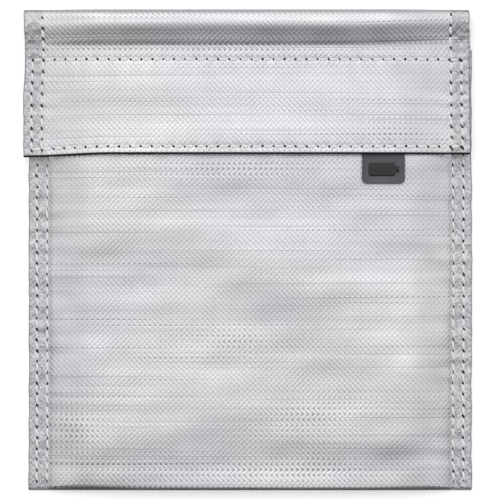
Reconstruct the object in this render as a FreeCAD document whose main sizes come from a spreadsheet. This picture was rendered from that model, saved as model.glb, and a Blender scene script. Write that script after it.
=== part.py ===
import FreeCAD, Part
import os
import re
import Sketcher

# A flat pouch of aluminised glass cloth for storing and charging lithium batteries.
#
# The pouch lies on its back. +Z rises out of the front, +Y points to the mouth and +X to the
# right. The origin is the middle of the face it rests on. Lengths are in millimetres.
#
# One long cloth makes the back, turns up at the bottom into the front, and runs on past the
# mouth at the top, where it folds over twice: up the top fold and back down as the flap.

SIZES = {
    "bag_width": 199.0,       # the cloth from one side edge to the other
    "bag_length": 216.3,      # bottom fold to the thread on the top fold
    "flap_shift": 1.5,        # how far the closed flap sits to the left of the pouch
    "flap_length": 64.7,      # top fold to the flap's free edge
    "mouth_margin": 3.95,     # tape to the front panel's mouth edge, room for a row of stitches
    "cloth": 0.6,             # aluminised glass cloth
    "lining_cloth": 0.5,      # plain glass cloth inside
    "ply_gap": 0.3,           # air between two plies that lie on each other
    "fold_gap": 0.6,          # air between two panels at the line they fold about
    "pocket_depth": 9.0,      # height of the pocket between its two linings
    "hem_width": 9.8,         # side edge turned in and sewn
    "end_hem_width": 6.0,     # the flap's free edge turned in
    "mouth_hem_width": 9.5,   # the mouth edge turned in
    "slope_run": 14.0,        # the front falls to the side seams over this width
    "fold_radius": 2.6,       # outside of the bottom fold
    "bottom_run": 19.5,       # the front falls to the bottom fold over this length
    "front_gap": 0.7,         # air around the part of the front that lifts
    "tape_width": 40.0,       # hook tape and loop tape
    "tape_thickness": 1.0,
    "tape_gap": 0.6,          # air between the hooks and the loops of the closed flap
    "tape_margin": 2.75,      # flap's free edge to the tape
    "tape_inset": 0.6,        # tape edge to the row of stitches that holds it
    "tape_clearance": 11.5,   # side edge to the end of either tape
    "facing_inset": 1.0,      # flap edge to the edge of its facing
    "outer_row": 3.6,         # side edge to the outer row of stitches
    "inner_row": 8.3,         # side edge to the inner row of stitches
    "stitch_pitch": 4.9,
    "stitch_length": 4.0,
    "stitch_width": 0.7,
    "thread_height": 0.3,
    "row_end": 2.0,           # cloth left bare beyond the last stitch of a row
    "mouth_row": 2.0,         # mouth edge to its row of stitches
    "label_width": 19.2,
    "label_length": 13.5,     # how far the label shows beyond the flap
    "label_thickness": 1.0,
    "label_offset": 60.5,     # middle of the label, to the right of the pouch's origin
    "label_corner": 2.2,
    "label_gap": 0.3,         # air between the label and its root, each side of the bend
    "label_root": 2.2,        # length of label sewn under the flap
    "mark_length": 12.0,      # battery sign on the label
    "mark_width": 6.0,
    "mark_height": 0.3,
    "mark_corner": 1.2,
    "nub_length": 1.4,        # terminal of the battery sign
    "nub_width": 2.6,
}

# Places that several sub-parts share, as formulas of the sizes above and of each other.
PLACES = {
    "half_width": "bag_width / 2",
    "pouch_middle": "flap_shift / 2",
    "flap_middle": "-flap_shift / 2",
    "bottom_end": "-bag_length / 2",
    "top_end": "bag_length / 2 - thread_height",
    "flap_end": "top_end - flap_length",
    "mouth_edge": "tape_end + mouth_margin",
    "bottom_bend": "bottom_end + fold_radius",
    "front_start": "bottom_end + bottom_run",
    "seam_start": "half_width - hem_width",
    "front_half": "seam_start - slope_run",
    "tape_start": "flap_end + tape_margin",
    "tape_end": "tape_start + tape_width",
    "tape_half": "half_width - tape_clearance",
    "back_lining_floor": "cloth + ply_gap",
    "pocket_floor": "back_lining_floor + lining_cloth",
    "pocket_roof": "pocket_floor + pocket_depth",
    "hem_floor": "pocket_floor + ply_gap",
    "hem_top": "hem_floor + 2 * cloth",
    "front_floor": "pocket_roof + lining_cloth + ply_gap",
    "front_top": "front_floor + cloth",
    "loop_top": "front_top + tape_thickness",
    "hook_floor": "loop_top + tape_gap",
    "facing_floor": "hook_floor + tape_thickness",
    "flap_hem_floor": "facing_floor + lining_cloth",
    "flap_floor": "flap_hem_floor + cloth",
    "flap_top": "flap_floor + cloth",
    "slope_thickness": "cloth * sqrt(1 + pow((front_top - hem_top) / slope_run; 2))",
}

WORD = re.compile(r"[a-z]+(?:_[a-z]+)+|cloth")


def expand(formula):
    """The formula with each place written out and each size read from the sheet."""
    def spell(found):
        name = found.group(0)
        if name in PLACES:
            return "(" + expand(PLACES[name]) + ")"
        return "Dimensions." + name
    return WORD.sub(spell, formula)


def make_sheet(doc):
    sheet = doc.addObject("Spreadsheet::Sheet", "Dimensions")
    for row, (name, size) in enumerate(SIZES.items(), start=1):
        sheet.set(f"A{row}", name)
        sheet.set(f"B{row}", str(size))
        sheet.setAlias(f"B{row}", name)
    doc.recompute()
    return sheet


def value(doc, formula):
    return float(doc.getObject("Dimensions").evalExpression(expand(formula)))


def bind(item, place, formula):
    item.setExpression(place, expand(formula))


def put(item, x="0", y="0", z="0"):
    """Bind where an object stands to the sheet."""
    bind(item, "Placement.Base.x", x)
    bind(item, "Placement.Base.y", y)
    bind(item, "Placement.Base.z", z)


def slab(doc, name, x_span, y_span, z_span):
    """A flat ply, given by where it starts and ends along each axis."""
    box = doc.addObject("Part::Box", name)
    box.Label = name
    for side, (low, high) in zip(("Length", "Width", "Height"), (x_span, y_span, z_span)):
        bind(box, side, f"({high}) - ({low})")
    put(box, x_span[0], y_span[0], z_span[0])
    return box


def centred(middle, half):
    return f"{middle} - ({half})", f"{middle} + {half}"


def above(floor, thickness):
    return floor, f"{floor} + {thickness}"


def make_body(doc, name):
    body = doc.addObject("PartDesign::Body", name)
    body.Label = name
    body.AllowCompound = True
    return body


def origin_feature(body, role):
    return [item for item in body.Origin.OriginFeatures if item.Role == role][0]


def outline(body, plane, corners, arcs=(), name="outline"):
    """A closed sketch through the corners. A side listed in arcs is a half circle, given as
    the number of the corner it leaves and 1 where it turns left or -1 where it turns right."""
    doc = body.Document
    sketch = body.newObject("Sketcher::SketchObject", f"{body.Name}_{name}_sketch")
    sketch.AttachmentSupport = [(origin_feature(body, plane), "")]
    sketch.MapMode = "FlatFace"
    turns = dict(arcs)
    spots = [FreeCAD.Vector(value(doc, u), value(doc, v), 0) for u, v in corners]
    starts = []
    for number, spot in enumerate(spots):
        after = spots[(number + 1) % len(spots)]
        if number not in turns:
            sketch.addGeometry(Part.LineSegment(spot, after), False)
            starts.append((1, 2))
            continue
        across = (after - spot) * 0.5
        bulge = FreeCAD.Vector(across.y, -across.x, 0) * turns[number]
        sketch.addGeometry(Part.Arc(spot, spot + across + bulge, after), False)
        # An arc of a sketch always runs anticlockwise from its first point.
        starts.append((1, 2) if turns[number] > 0 else (2, 1))
    for number, (u, v) in enumerate(corners):
        after = (number + 1) % len(corners)
        sketch.addConstraint(
            Sketcher.Constraint("Coincident", number, starts[number][1], after, starts[after][0]))
        fix_point(sketch, f"corner_{number}", number, starts[number][0], u, v)
    for number in turns:
        fix_across(sketch, f"centre_{number}", number, corners[number][0])
    return sketch


def fix_across(sketch, name, edge, u):
    """Hold an arc's centre (point 3) at its place across the sketch."""
    spot = value(sketch.Document, u)
    across = sketch.addConstraint(Sketcher.Constraint("DistanceX", -1, 1, edge, 3, spot))
    sketch.renameConstraint(across, name)
    bind(sketch, f"Constraints.{name}", u)


def fix_point(sketch, name, edge, point, u, v):
    """Hold a point of an edge at its place in the sketch, bound to the sheet."""
    for kind, suffix, formula in (("DistanceX", "across", u), ("DistanceY", "up", v)):
        spot = value(sketch.Document, formula)
        number = sketch.addConstraint(Sketcher.Constraint(kind, -1, 1, edge, point, spot))
        sketch.renameConstraint(number, f"{name}_{suffix}")
        bind(sketch, f"Constraints.{name}_{suffix}", formula)


def rectangle(width, length):
    """Corners of a rectangle about the sketch's origin."""
    return [
        (f"-({width}) / 2", f"-({length}) / 2"),
        (f"({width}) / 2", f"-({length}) / 2"),
        (f"({width}) / 2", f"({length}) / 2"),
        (f"-({width}) / 2", f"({length}) / 2"),
    ]


def pad(body, sketch, length, name="pad", centred_on_sketch=False):
    feature = body.newObject("PartDesign::Pad", f"{body.Name}_{name}")
    feature.Profile = sketch
    if centred_on_sketch:
        feature.SideType = "Symmetric"
    bind(feature, "Length", length)
    sketch.Visibility = False
    return feature


def cut_through(body, sketch, name):
    """Cut the sketch's shape out of the body, above and below the sketch."""
    body.Document.recompute()
    before = body.Shape.Volume
    pocket = body.newObject("PartDesign::Pocket", f"{body.Name}_{name}")
    pocket.Profile = sketch
    pocket.Type = "ThroughAll"
    pocket.SideType = "Symmetric"
    sketch.Visibility = False
    body.Document.recompute()
    if body.Shape.Volume >= before:
        raise RuntimeError(f"{pocket.Name} cuts nothing")


def round_uprights(body, feature, radius, wanted):
    """Round the edges along Z whose middle the function wanted picks."""
    body.Document.recompute()
    names = []
    for number, edge in enumerate(feature.Shape.Edges, start=1):
        box = edge.BoundBox
        if box.ZLength > 1e-3 and max(box.XLength, box.YLength) < 1e-6 and wanted(box.Center):
            names.append(f"Edge{number}")
    fillet = body.newObject("PartDesign::Fillet", body.Name + "_corners")
    fillet.Base = (feature, names)
    bind(fillet, "Radius", radius)
    return fillet


def stitch_row(doc, name, direction, run):
    """Stitches one pitch apart, about the origin, along X or Y for as much of the run as
    they fill. Each stitch is a solid of its own."""
    body = make_body(doc, name)
    corners = rectangle("stitch_width", "stitch_length")
    if direction == "X":
        corners = rectangle("stitch_length", "stitch_width")
    first = pad(body, outline(body, "XY_Plane", corners), "thread_height")
    count = f"(floor(({run} - 2 * row_end - stitch_length) / stitch_pitch) + 1)"
    pattern = body.newObject("PartDesign::LinearPattern", name + "_pattern")
    pattern.Originals = [first]
    pattern.Direction = (origin_feature(body, direction + "_Axis"), [""])
    bind(pattern, "Occurrences", count)
    bind(pattern, "Length", f"({count} - 1) * stitch_pitch")
    body.Tip = pattern
    return body, f"({count} - 1) * stitch_pitch / 2"


def row_across(doc, name, middle, y, z, run):
    body, reach = stitch_row(doc, name, "X", run)
    put(body, f"{middle} - {reach}", y, z)
    return body


def row_along(doc, name, x, span, z):
    low, high = span
    body, reach = stitch_row(doc, name, "Y", f"(({high}) - ({low}))")
    put(body, x, f"(({low}) + ({high})) / 2 - {reach}", z)
    return body


SIDES = (("left", -1), ("right", 1))


# ---- pouch: the back, its lining, the bottom fold and the two side seams

def back_panel(doc):
    return [slab(doc, "back_panel", centred("pouch_middle", "half_width"),
                 ("bottom_bend", "top_end"), above("0", "cloth"))]


def back_lining(doc):
    return [slab(doc, "back_lining", centred("pouch_middle", "half_width - facing_inset"),
                 ("bottom_bend", "top_end - 2 * cloth - ply_gap"),
                 above("back_lining_floor", "lining_cloth"))]


def bottom_fold(doc):
    """The cloth turns up out of the back and climbs to the level of the front. Its ends are
    mitred to the slopes beside the side seams."""
    body = make_body(doc, "bottom_fold")
    section = [
        ("bottom_bend", "0"),
        ("bottom_bend", "2 * fold_radius"),
        ("front_start", "front_top"),
        ("front_start", "front_top - slope_thickness"),
        ("bottom_bend", "2 * fold_radius - cloth"),
        ("bottom_bend", "cloth"),
    ]
    sketch = outline(body, "YZ_Plane", section, arcs=((0, -1), (4, 1)))
    pad(body, sketch, "2 * (seam_start - front_gap)", centred_on_sketch=True)
    for side, sign in SIDES:
        corners = [
            (f"{sign} * (front_half - front_gap)", "front_start"),
            (f"{sign} * (seam_start - front_gap)", "bottom_bend"),
            (f"{sign} * half_width", "bottom_bend"),
            (f"{sign} * half_width", "front_start"),
        ]
        cut_through(body, outline(body, "XY_Plane", corners, name=side), f"{side}_mitre")
    put(body, "pouch_middle")
    return [body]


def side_hems(doc):
    """The front's side edge, turned in and sewn to the back, and the slope beside it, mitred
    to the bottom fold."""
    hems = []
    middle = "(mouth_edge + bottom_end) / 2"
    for side, sign in SIDES:
        body = make_body(doc, f"{side}_side_hem")
        section = [
            ("half_width", "hem_floor"),
            ("half_width", "hem_top"),
            ("seam_start", "hem_top"),
            ("front_half", "front_top"),
            ("front_half", "front_top - slope_thickness"),
            ("seam_start", "hem_floor"),
        ]
        sketch = outline(body, "XZ_Plane", [(f"{sign} * ({x})", z) for x, z in section])
        pad(body, sketch, "mouth_edge - bottom_end", centred_on_sketch=True)
        mitre = [
            ("front_half - front_gap", "front_start"),
            ("front_half", "front_start"),
            ("seam_start", "bottom_bend"),
            ("seam_start", "bottom_end"),
            ("front_half - front_gap", "bottom_end"),
        ]
        corners = [(f"{sign} * ({x})", f"{y} - {middle}") for x, y in mitre]
        cut_through(body, outline(body, "XY_Plane", corners, name="mitre"), "mitre")
        put(body, "pouch_middle", middle)
        hems.append(body)
    return hems


def side_seams(doc):
    """Two rows of stitches down each side of the pouch."""
    rows = []
    for side, sign in SIDES:
        for rank in ("outer", "inner"):
            x = f"pouch_middle + {sign} * (half_width - {rank}_row)"
            span = ("bottom_end", "mouth_edge")
            rows.append(row_along(doc, f"{side}_{rank}_seam", x, span, "hem_top"))
    return rows


# ---- front: the panel that lifts when the mouth gapes

def front_panel(doc):
    return [slab(doc, "front_panel", centred("pouch_middle", "front_half - front_gap"),
                 ("front_start + front_gap", "mouth_edge"), above("front_floor", "cloth"))]


def front_lining(doc):
    return [slab(doc, "front_lining", centred("pouch_middle", "front_half - front_gap - cloth"),
                 ("front_start + 2 * front_gap", "mouth_edge - mouth_hem_width - ply_gap"),
                 above("pocket_roof", "lining_cloth"))]


def mouth_hem(doc):
    return [slab(doc, "mouth_hem", centred("pouch_middle", "front_half - front_gap"),
                 ("mouth_edge - mouth_hem_width", "mouth_edge"),
                 ("front_floor - cloth", "front_floor"))]


def loop_tape(doc):
    return [slab(doc, "loop_tape", centred("pouch_middle", "front_half - front_gap - cloth"),
                 ("tape_start", "tape_end"), above("front_top", "tape_thickness"))]


def front_seams(doc):
    """The row that closes the mouth hem and the two that hold the loop tape."""
    run = "2 * (front_half - front_gap - cloth)"
    rows = (
        ("mouth_seam", "mouth_edge - mouth_row", "front_top"),
        ("loop_tape_upper_seam", "tape_end - tape_inset", "loop_top"),
        ("loop_tape_lower_seam", "tape_start + tape_inset", "loop_top"),
    )
    return [row_across(doc, name, "pouch_middle", y, z, run) for name, y, z in rows]


# ---- top fold: the cloth between the back and the flap

def top_fold_panel(doc):
    return [slab(doc, "top_fold_panel", centred("0", "half_width"),
                 ("top_end - cloth", "top_end"), ("cloth + fold_gap", "flap_floor - fold_gap / 2"))]


def top_fold_lining(doc):
    outside = "top_end - cloth - ply_gap"
    return [slab(doc, "top_fold_lining", centred("0", "half_width - facing_inset"),
                 (f"{outside} - lining_cloth", outside),
                 ("pocket_floor + lining_cloth", "facing_floor - ply_gap"))]


def top_fold_seams(doc):
    """The flap's inner rows run on over the fold: their stitches stand up the outside."""
    rows = []
    for side, sign in SIDES:
        body, reach = stitch_row(doc, f"top_fold_{side}_seam", "Y", "flap_floor")
        x = f"flap_middle + {sign} * (half_width - inner_row)"
        middle = "(cloth + fold_gap + flap_floor - fold_gap / 2) / 2"
        body.Placement.Rotation = FreeCAD.Rotation(FreeCAD.Vector(1, 0, 0), -90)
        put(body, x, "top_end", f"{middle} + {reach}")
        rows.append(body)
    return rows


# ---- flap: the closure, with its hems, facing and hook tape

def flap_panel(doc):
    return [slab(doc, "flap_panel", centred("flap_middle", "half_width"),
                 ("flap_end", "top_end"), above("flap_floor", "cloth"))]


def flap_hems(doc):
    hems = []
    y_span = ("flap_end", "top_end - cloth - ply_gap - lining_cloth")
    z_span = above("flap_hem_floor", "cloth")
    for side, sign in SIDES:
        outer = f"flap_middle + {sign} * half_width"
        inner = f"flap_middle + {sign} * seam_start"
        x_span = (outer, inner) if sign < 0 else (inner, outer)
        hems.append(slab(doc, f"flap_{side}_hem", x_span, y_span, z_span))
    hems.append(slab(doc, "flap_end_hem", centred("flap_middle", "seam_start - ply_gap"),
                     above("flap_end", "end_hem_width"), z_span))
    return hems


def flap_facing(doc):
    return [slab(doc, "flap_facing", centred("flap_middle", "half_width - facing_inset"),
                 ("flap_end + facing_inset", "top_end - 2 * cloth - ply_gap - lining_cloth - fold_gap / 2"),
                 above("facing_floor", "lining_cloth"))]


def hook_tape(doc):
    return [slab(doc, "hook_tape", centred("flap_middle", "tape_half"),
                 ("tape_start", "tape_end"), above("hook_floor", "tape_thickness"))]


def flap_seams(doc):
    """Two rows across, at the hook tape's edges, and two down each side."""
    run = "(2 * (half_width - inner_row))"
    end_row = "tape_start + tape_inset"
    upper_row = "tape_end - tape_inset"
    rows = [
        row_across(doc, "flap_end_seam", "flap_middle", end_row, "flap_top", run),
        row_across(doc, "flap_upper_seam", "flap_middle", upper_row, "flap_top", run),
    ]
    for side, sign in SIDES:
        for rank, top in (("outer", upper_row), ("inner", "top_end")):
            x = f"flap_middle + {sign} * (half_width - {rank}_row)"
            rows.append(row_along(doc, f"flap_{side}_{rank}_seam", x, ("flap_end", top), "flap_top"))
    return rows


# ---- label: a rubber tab sewn under the flap's free edge

def label_tab_root(doc):
    start = "flap_end + label_gap"
    return [slab(doc, "label_tab_root", centred("label_offset", "label_width / 2"),
                 (start, f"{start} + label_root"),
                 ("facing_floor - label_thickness", "facing_floor"))]


def label_tab(doc):
    body = make_body(doc, "label_tab")
    length = "label_length - label_gap"
    sketch = outline(body, "XY_Plane", rectangle("label_width", length))
    block = pad(body, sketch, "label_thickness")
    round_uprights(body, block, "label_corner", lambda middle: middle.y < 0)
    put(body, "label_offset", f"flap_end - label_gap - ({length}) / 2",
        "facing_floor - label_thickness")
    return [body]


def label_mark(doc):
    """A battery sign standing proud of the label: a rounded cell with its terminal."""
    body = make_body(doc, "label_mark")
    cell = pad(body, outline(body, "XY_Plane", rectangle("mark_length", "mark_width")),
               "mark_height", "cell")
    round_uprights(body, cell, "mark_corner", lambda middle: True)
    nub = [
        ("mark_length / 2 - mark_corner", "-nub_width / 2"),
        ("mark_length / 2 + nub_length", "-nub_width / 2"),
        ("mark_length / 2 + nub_length", "nub_width / 2"),
        ("mark_length / 2 - mark_corner", "nub_width / 2"),
    ]
    pad(body, outline(body, "XY_Plane", nub), "mark_height", "nub")
    put(body, "label_offset - nub_length / 2", "flap_end - label_gap - label_length / 2",
        "facing_floor")
    return [body]


MAKERS = (
    back_panel, back_lining, bottom_fold, side_hems, side_seams,
    front_panel, front_lining, mouth_hem, loop_tape, front_seams,
    top_fold_panel, top_fold_lining, top_fold_seams,
    flap_panel, flap_hems, flap_facing, hook_tape, flap_seams,
    label_tab_root, label_tab, label_mark,
)


def check(doc, pieces):
    for item in doc.Objects:
        for word in ("Invalid", "Error"):
            if word in item.State:
                raise RuntimeError(f"{item.Label} is {word}")
    for piece in pieces:
        if piece.Shape.isNull() or not piece.Shape.isValid() or not piece.Shape.Solids:
            raise RuntimeError(f"{piece.Label} has no valid solid")


def main():
    os.makedirs("parts", exist_ok=True)
    doc = FreeCAD.newDocument("battery_pouch")
    make_sheet(doc)
    pieces = [piece for make in MAKERS for piece in make(doc)]
    doc.recompute()
    check(doc, pieces)
    for piece in pieces:
        piece.Shape.exportStep(f"parts/{piece.Label}.step")
        print(piece.Label, len(piece.Shape.Solids), "solids, volume", round(piece.Shape.Volume, 3))


main()
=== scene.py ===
import math

import bpy
import numpy as np
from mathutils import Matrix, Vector


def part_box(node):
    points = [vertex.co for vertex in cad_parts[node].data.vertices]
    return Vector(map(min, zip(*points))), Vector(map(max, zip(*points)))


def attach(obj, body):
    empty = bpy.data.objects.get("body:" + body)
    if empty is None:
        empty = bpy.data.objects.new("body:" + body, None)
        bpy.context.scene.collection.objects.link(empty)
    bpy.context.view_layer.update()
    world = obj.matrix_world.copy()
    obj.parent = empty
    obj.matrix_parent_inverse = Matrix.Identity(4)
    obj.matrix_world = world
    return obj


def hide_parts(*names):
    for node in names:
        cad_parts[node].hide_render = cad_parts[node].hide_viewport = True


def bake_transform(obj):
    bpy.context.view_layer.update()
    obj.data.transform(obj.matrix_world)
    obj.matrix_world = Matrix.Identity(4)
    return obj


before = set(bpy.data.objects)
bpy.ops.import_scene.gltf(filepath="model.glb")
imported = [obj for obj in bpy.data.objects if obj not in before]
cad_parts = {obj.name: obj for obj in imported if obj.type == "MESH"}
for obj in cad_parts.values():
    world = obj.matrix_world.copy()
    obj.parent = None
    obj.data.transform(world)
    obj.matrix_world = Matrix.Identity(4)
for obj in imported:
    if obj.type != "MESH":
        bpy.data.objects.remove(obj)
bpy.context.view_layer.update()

# Lengths in this script are in millimetres until a mesh is made.
MM = 0.001


def span(node, axis):
    """Lowest and highest place of a CAD node along an axis, in millimetres."""
    low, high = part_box(node)
    return low[axis] / MM, high[axis] / MM


def middle_of(node, axis):
    return sum(span(node, axis)) / 2


def size_of(node, axis):
    low, high = span(node, axis)
    return high - low


# ---- places, all read from the frame

BACK_LEFT, BACK_RIGHT = span("back_panel", 0)
BOTTOM = span("bottom_fold", 1)[0]
TOP = span("top_fold_panel", 1)[1]
CLOTH = span("back_panel", 2)[1]
LINING = size_of("back_lining", 2)
POUCH_X = (BACK_LEFT + BACK_RIGHT) / 2
HALF = (BACK_RIGHT - BACK_LEFT) / 2
HEM = size_of("flap_left_hem", 0)
MOUTH = span("front_panel", 1)[1]
MOUTH_HEM = MOUTH - span("mouth_hem", 1)[0]
SEAM_MID = span("left_inner_seam", 2)[0] - CLOTH / 2
FRONT_MID = span("front_panel", 2)[1] - CLOTH / 2
FLAP_LEFT, FLAP_RIGHT = span("flap_panel", 0)
FLAP_X = (FLAP_LEFT + FLAP_RIGHT) / 2
FLAP_END = span("flap_panel", 1)[0]
FLAP_MID = span("flap_panel", 2)[1] - CLOTH / 2
END_HEM = span("flap_end_hem", 1)[1] - FLAP_END
TAPE_LOW, TAPE_HIGH = span("hook_tape", 1)
HOOK_HALF = size_of("hook_tape", 0) / 2
LOOP_HALF = size_of("loop_tape", 0) / 2
TAPE_THICK = size_of("hook_tape", 2)
FACING_MID = middle_of("flap_facing", 2)
HOOK_MID = middle_of("hook_tape", 2)
LOOP_MID = middle_of("loop_tape", 2)
LINING_DROP = FRONT_MID - middle_of("front_lining", 2)
BACK_LINING_MID = middle_of("back_lining", 2)
OUTER_ROW = BACK_RIGHT - middle_of("right_outer_seam", 0)
INNER_ROW = BACK_RIGHT - middle_of("right_inner_seam", 0)
REACH = HALF - INNER_ROW     # from the middle of the bag to its inner rows of stitches
END_ROW = middle_of("flap_end_seam", 1)
UPPER_ROW = middle_of("flap_upper_seam", 1)
MOUTH_ROW = middle_of("mouth_seam", 1)

FOLD = CLOTH / 2           # radius of a turned edge, at the middle of the cloth
STITCH_PITCH = 4.9
PILLOW_RUN = 26.0          # the front rises from its side seams over this width
BOTTOM_RUN = 1.6           # and from the bottom fold over this length
BOTTOM_RADIUS = 2.3        # bottom fold at the middle of the bag, at the middle of the cloth
LINING_START = 12.0        # the front lining begins this far above the bottom fold
LINING_INSET = 1.0         # the back's and the flap's linings end this far inside their edges
PLUMP = 2.4                # how full the rise is
DROOP = 6.0                # the flap's side edges hang this much lower than its middle
DROOP_START = 62.0         # they begin to, this far from the middle
TILT = 0.020               # how steeply the flap slopes from its free edge to the top fold
FLARE = 0.6                # the flap is this much wider, on each side, at its free edge
FOLD_GAP = 25.0            # the top fold's line begins this far below its outer edge


# ---- shapes

def smoothstep(t):
    t = np.clip(t, 0.0, 1.0)
    return t * t * (3.0 - 2.0 * t)


def ripple(x, y, wavelength, seed, wide=1.0):
    """Smooth unevenness of about one unit, made of waves in every direction. It is drawn out
    sideways where wide is more than one."""
    spread, waves = 0.35, 9
    draw = np.random.default_rng(seed)
    total = np.zeros(np.broadcast(x, y).shape)
    for _ in range(waves):
        turn, phase = draw.uniform(0, 2 * math.pi, 2)
        length = wavelength * (1 + spread * draw.uniform(-1, 1))
        along = x / wide * math.cos(turn) + y * math.sin(turn)
        total += np.sin(2 * math.pi * along / length + phase)
    return total / math.sqrt(waves / 2) / 1.6


def ripples(x, y, *waves):
    """Ripples on one another. Each is its height, then its wavelength, seed and drawing out."""
    return sum(height * ripple(x, y, *wave) for height, *wave in waves)


def steps(*stretches):
    """Places along a line: each stretch is (start, end, spacing)."""
    places = [stretches[0][0]]
    for start, end, spacing in stretches:
        count = max(1, round(abs(end - start) / spacing))
        places.extend(start + (end - start) * (k + 1) / count for k in range(count))
    return np.array(places)


def pillow(x):
    """Height of the front's middle line over its width."""
    rise = np.clip((REACH - np.abs(x - POUCH_X)) / PILLOW_RUN, 0, 1)
    return SEAM_MID + (FRONT_MID - SEAM_MID) * (1 - (1 - rise) ** PLUMP)


def fullness(x):
    return (pillow(x) - SEAM_MID) / (FRONT_MID - SEAM_MID)


def row_groove(distance, along, depth=0.22, width=1.1):
    """The cloth is drawn down along a row of stitches, most at each needle hole."""
    beat = 0.7 + 0.3 * np.cos(2 * math.pi * along / STITCH_PITCH)
    return -depth * beat * np.exp(-(distance / width) ** 2)


def seam_puckers(distance, along, seed, depth, reach=7.0):
    """Small folds that run away from a row of stitches and die out."""
    jitter = ripple(along, 0 * along, 31.0, seed)
    wave = np.sin(2 * math.pi * along / (2.2 * STITCH_PITCH) + 2.2 * jitter)
    return depth * wave * np.exp(-np.abs(distance) / reach)


def side_seams(x, y, side, shift, seed, depth, crumples):
    """What the seams at the sides do to the cloth: a groove along each row, puckers inwards,
    and crumpled foil on the hem. side is how far a place is from the middle, and shift how far
    the puckers are moved along the row."""
    inner = REACH - side
    relief = row_groove(HALF - OUTER_ROW - side, y) + row_groove(inner, y)
    relief = relief + seam_puckers(inner, y + shift, seed, depth)
    return relief + smoothstep((0.5 - inner) / 1.0) * ripples(x, y, *crumples)


# Soft swells of the front, and patches where its weave is pulled into chevrons. Each is
# the middle (x, y) and the reach sideways and up; a swell has its height as well.
SWELLS = ((-35, -72, 42, 20, 0.80), (72, -63, 24, 20, 1.30), (0, -6, 60, 20, 0.20))
FRONT_PULLS = (
    (-12, 36, 42, 5), (-14, -40, 28, 8), (30, -74, 30, 12), (-78, -80, 14, 13), (0, -99, 90, 6),
)
FLAP_PULLS = ((64, 52, 14, 6), (-10, 91, 95, 4))


# ---- the small folds of the front, by cloth simulation

SLACK_SHARE = 0.40         # how much of the simulated folds the front keeps
SLACK_CAP = 0.45           # and the most that one may rise or sink
SLACK_FRAMES = 18
SLACK_CLOTH = {            # light, stiff foil cut 1.2 % too large, that comes to rest soon
    "quality": 6,
    "mass": 0.25,
    "tension_stiffness": 30,
    "compression_stiffness": 30,
    "shear_stiffness": 20,
    "bending_stiffness": 0.02,
    "tension_damping": 10,
    "compression_damping": 10,
    "air_damping": 8,
    "shrink_min": -0.012,
    "vertex_group_mass": "held",
}


def add_object(name, data):
    item = bpy.data.objects.new(name, data)
    bpy.context.scene.collection.objects.link(item)
    return item


def cells_of(rows, columns):
    """The corners of each cell of a grid, as numbers of its places."""
    number = np.arange(rows * columns).reshape(rows, columns)
    return np.stack([number[:-1, :-1], number[1:, :-1], number[1:, 1:], number[:-1, 1:]], -1)


def averaged(grid, reach):
    """Each value of a grid averaged with its neighbours up to reach away."""
    wide = np.pad(grid, reach, mode="edge")
    rows, columns = grid.shape
    size = 2 * reach + 1
    return sum(wide[i:i + rows, j:j + columns] for i in range(size) for j in range(size)) / size ** 2


def add_slack_sheet(grid_x, grid_y, height):
    """The front as a plain sheet for the simulation. It is held at the needle holes and along
    both ends, and what lies under it bears it up, most away from its rim."""
    uneven = np.random.default_rng(5).normal(0, 0.02, height.shape)
    places = np.stack([grid_x, grid_y, height + uneven], -1).reshape(-1, 3) * MM
    mesh = bpy.data.meshes.new("slack")
    mesh.from_pydata(places.tolist(), [], cells_of(*height.shape).reshape(-1, 4).tolist())
    sheet = add_object("slack", mesh)
    to_side = REACH - np.abs(grid_x - POUCH_X)
    to_end = np.minimum(grid_y - grid_y[0, 0], grid_y[0, -1] - grid_y)
    support = 0.04 + 0.26 * np.clip((np.minimum(to_side, to_end) - 4) / 16, 0, 1)
    support[[0, -1], ::2] = 1.0
    support[:, [0, -1]] = 1.0
    held = sheet.vertex_groups.new(name="held")
    for k, weight in enumerate(support.ravel()):
        held.add([k], float(weight), "REPLACE")
    return sheet


def simulate_slack():
    """The small folds that the front settles into, on a grid of places x across and y up."""
    pitch = STITCH_PITCH / 2
    start = BOTTOM + 3
    x = np.linspace(POUCH_X - REACH, POUCH_X + REACH, 1 + round(2 * REACH / pitch))
    y = np.linspace(start, MOUTH, 1 + round((MOUTH - start) / pitch))
    grid_x, grid_y = np.meshgrid(x, y, indexing="ij")
    height = pillow(grid_x)
    sheet = add_slack_sheet(grid_x, grid_y, height)
    cloth = sheet.modifiers.new("Cloth", "CLOTH")
    cloth.collision_settings.use_collision = False
    cloth.point_cache.frame_start = 1
    cloth.point_cache.frame_end = SLACK_FRAMES
    for key, setting in SLACK_CLOTH.items():
        setattr(cloth.settings, key, setting)
    cloth.settings.effector_weights.gravity = 0.15
    for frame_number in range(1, SLACK_FRAMES + 1):
        bpy.context.scene.frame_set(frame_number)
    settled = sheet.evaluated_get(bpy.context.evaluated_depsgraph_get()).data
    found = np.zeros(height.size * 3)
    settled.vertices.foreach_get("co", found)
    moved = found.reshape(*height.shape, 3)[..., 2] / MM - height
    mesh = sheet.data
    bpy.data.objects.remove(sheet)
    bpy.data.meshes.remove(mesh)
    bpy.context.scene.frame_set(1)
    folds = averaged(averaged(moved, 1), 1) - averaged(averaged(moved, 4), 3)
    return x, y, np.clip(SLACK_SHARE * folds, -SLACK_CAP, SLACK_CAP)


SLACK_X, SLACK_Y, FOLDS = simulate_slack()


def read_grid(grid, i, j, s, t):
    """The value of a grid in the cell (i, j), at the shares s and t of its sides."""
    low = grid[i, j] * (1 - s) + grid[i + 1, j] * s
    high = grid[i, j + 1] * (1 - s) + grid[i + 1, j + 1] * s
    return low * (1 - t) + high * t


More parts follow.
